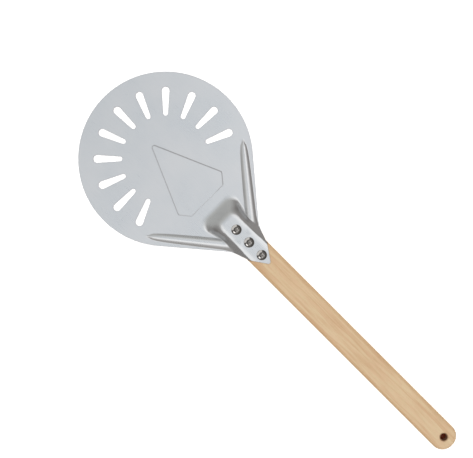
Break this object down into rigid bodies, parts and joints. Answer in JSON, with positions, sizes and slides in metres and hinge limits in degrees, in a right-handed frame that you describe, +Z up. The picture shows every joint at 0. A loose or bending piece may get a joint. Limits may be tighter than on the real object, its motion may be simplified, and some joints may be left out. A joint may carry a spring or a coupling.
{
  "type": "pizza peel",
  "caption": "Short-handled turning peel: round slotted aluminium blade on a flat wooden handle with a hanging hole.",
  "frame": {"origin": "middle of the peel's footprint, at the underside that rests on a surface", "axes": "+X from the blade towards the handle's end, +Z up out of the blade's upper face, +Y to the left of +X seen from above"},
  "size_m": [0.5696, 0.203, 0.0185],
  "materials": {
    "blade_aluminium": "satin, lightly brushed",
    "handle_wood": "sanded, lightly oiled beech",
    "screw_steel": "polished",
    "nut_steel": "zinc plated"
  },
  "bodies": {
    "root": {"blade": "blade_aluminium", "handle": "handle_wood", "screw_front": "screw_steel", "screw_middle": "screw_steel", "screw_rear": "screw_steel", "barrel_nut_front": "nut_steel", "barrel_nut_middle": "nut_steel", "barrel_nut_rear": "nut_steel"}
  },
  "joints": []
}
